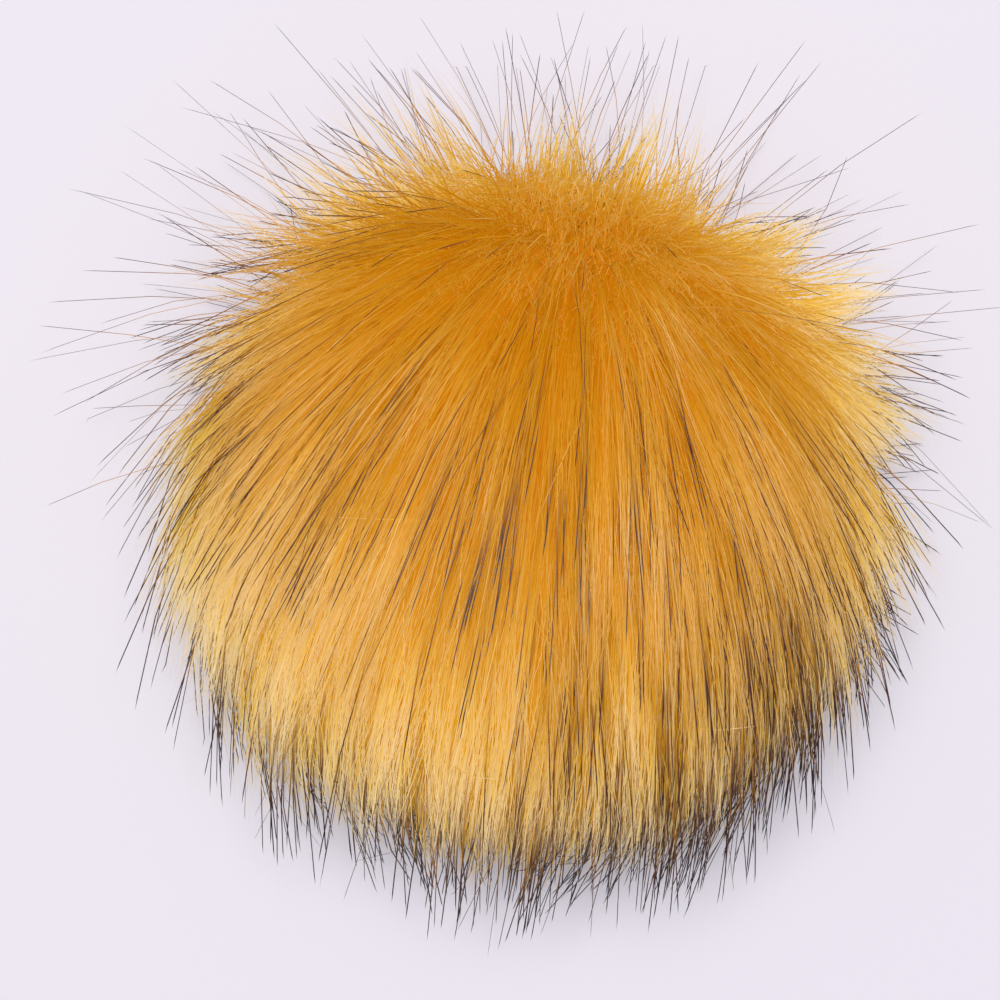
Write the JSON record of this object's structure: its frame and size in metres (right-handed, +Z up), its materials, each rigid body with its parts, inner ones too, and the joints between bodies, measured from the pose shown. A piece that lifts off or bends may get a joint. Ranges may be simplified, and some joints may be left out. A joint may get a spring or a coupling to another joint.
{
  "type": "pom pom",
  "caption": "Long-pile faux-fur pom pom: a gathered ball of golden fur with dark-tipped guard hairs, parted at a crown, with a flat drawn-in base for sewing on.",
  "frame": {"origin": "middle of the drawn-in base, on the surface that the pom pom rests on", "axes": "+Z up, out of the base. +Y towards the side with the crown, from which the pile is combed away. -Y towards the side with the long combed fringe. +X to the right, seen from above with +Y away from the viewer"},
  "size_m": [0.1353, 0.1421, 0.0966],
  "materials": {
    "fur": "soft long-pile acrylic faux fur, satin, golden with dark brown to black tips"
  },
  "bodies": {
    "root": {"fur_ball": "fur"}
  },
  "joints": []
}
